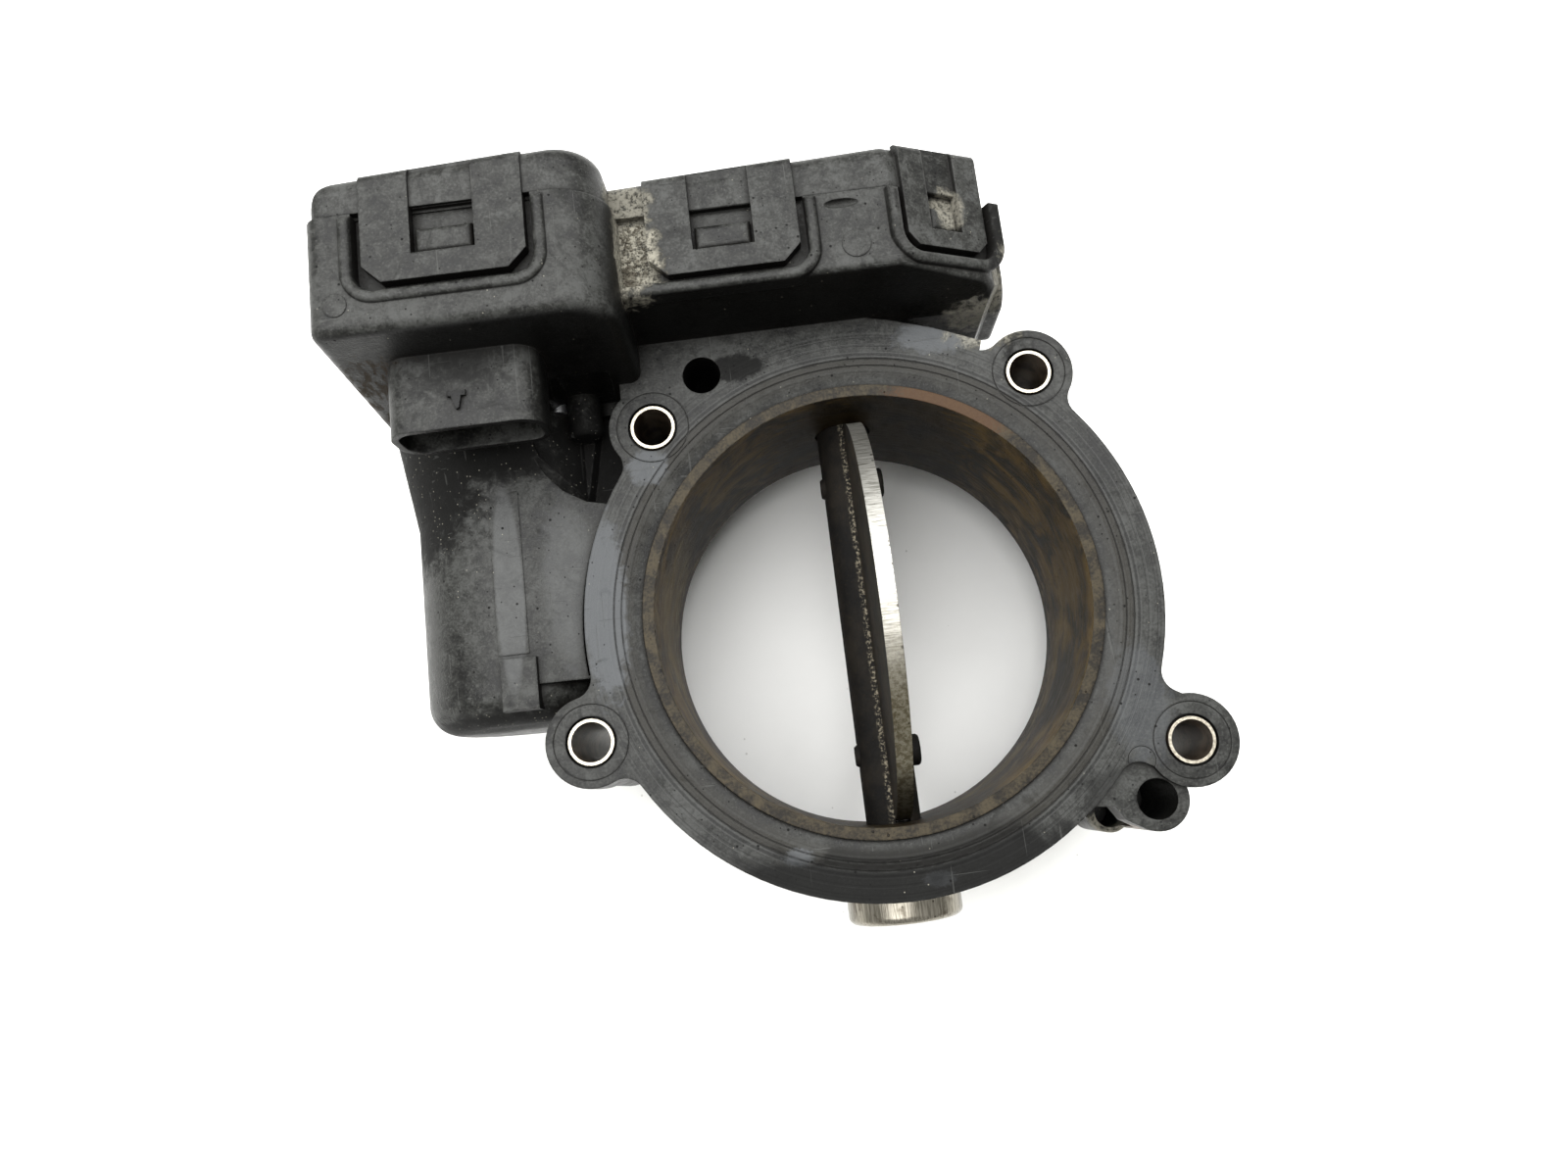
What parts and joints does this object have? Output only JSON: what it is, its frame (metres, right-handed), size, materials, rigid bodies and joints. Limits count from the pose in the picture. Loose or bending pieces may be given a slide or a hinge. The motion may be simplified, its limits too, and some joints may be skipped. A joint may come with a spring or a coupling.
{
  "type": "throttle body",
  "caption": "Motor-driven throttle body: round bore with a pivoting plate, a lugged flange, a side motor and connector, and a gear housing with a clipped cover.",
  "frame": {"origin": "centre of the flange face, on the bore axis", "axes": "+Z out of the flange face, away from the body; +Y along the throttle shaft towards the gear housing; +X completes the right-handed frame, away from the motor"},
  "size_m": [0.1435, 0.1323, 0.0852],
  "materials": {
    "housing_plastic": "satin glass-filled black, scuffed",
    "cover_plastic": "satin moulded",
    "liner_metal": "oily brown varnish",
    "sleeve_steel": "cut ends bright",
    "shaft_steel": "sooty",
    "plate_aluminium": "machined edge, stained faces",
    "screw_steel": "oily",
    "cap_nickel": "satin nickel",
    "bearing_steel": "ground",
    "seal_rubber": "matte",
    "spring_steel": "drawn wire",
    "gear_plastic": "natural acetal",
    "insert_steel": "turned",
    "magnet_ferrite": "sintered",
    "brass": "turned",
    "motor_steel": "zinc plated",
    "lamination": "stacked",
    "copper": "enamelled",
    "carrier_plastic": "moulded",
    "carbon": "pressed",
    "terminal_tin": "tinned",
    "board_green": "solder mask",
    "chip_black": "epoxy"
  },
  "bodies": {
    "body": {"housing": "housing_plastic", "bore_liner": "liner_metal", "compression_sleeves": "sleeve_steel", "gear_cover": "cover_plastic", "cover_seal": "seal_rubber", "upper_shaft_bearing": "bearing_steel", "lower_shaft_bearing": "bearing_steel", "upper_shaft_seal": "seal_rubber", "lower_shaft_seal": "seal_rubber", "bearing_end_cap": "cap_nickel", "return_spring": "spring_steel", "spring_sleeve": "carrier_plastic", "idler_pin": "insert_steel", "motor_can": "motor_steel", "motor_magnets": "magnet_ferrite", "motor_bushes": "brass", "brush_holder": "carrier_plastic", "motor_brushes": "carbon", "motor_terminals": "terminal_tin", "motor_bracket": "motor_steel", "motor_screws": "insert_steel", "wave_spring": "spring_steel", "connector_pins": "terminal_tin", "terminal_carrier": "carrier_plastic", "sensor_board": "board_green", "hall_sensor": "chip_black"},
    "throttle": {"throttle_shaft": "shaft_steel", "throttle_plate": "plate_aluminium", "plate_screws": "screw_steel", "sector_gear": "gear_plastic", "sector_insert": "insert_steel", "sensor_magnet": "magnet_ferrite"},
    "idler": {"idler_gear": "gear_plastic"},
    "rotor": {"motor_shaft": "insert_steel", "armature": "lamination", "armature_windings": "copper", "commutator": "copper", "motor_pinion": "brass"}
  },
  "joints": [
    {"name": "throttle_turn", "type": "hinge", "parent": "body", "child": "throttle", "pos_m": [0, 0, -0.02], "axis": [0, 1, 0], "range_deg": [0, 84], "stiffness_Nm_per_rad": 0.12, "springref_deg": -22.92, "deforming": ["return_spring"]},
    {"name": "idler_turn", "type": "hinge", "parent": "body", "child": "idler", "pos_m": [-0.036, 0, -0.02], "axis": [0, 1, 0], "range_deg": [-420, 0]},
    {"name": "rotor_turn", "type": "hinge", "parent": "body", "child": "rotor", "pos_m": [-0.0648, 0, -0.02], "axis": [0, 1, 0], "range_deg": [0, 2100]}
  ],
  "couplings": [
    {"joint": "idler_turn", "follows": "throttle_turn", "ratio": -5},
    {"joint": "rotor_turn", "follows": "throttle_turn", "ratio": 25}
  ]
}
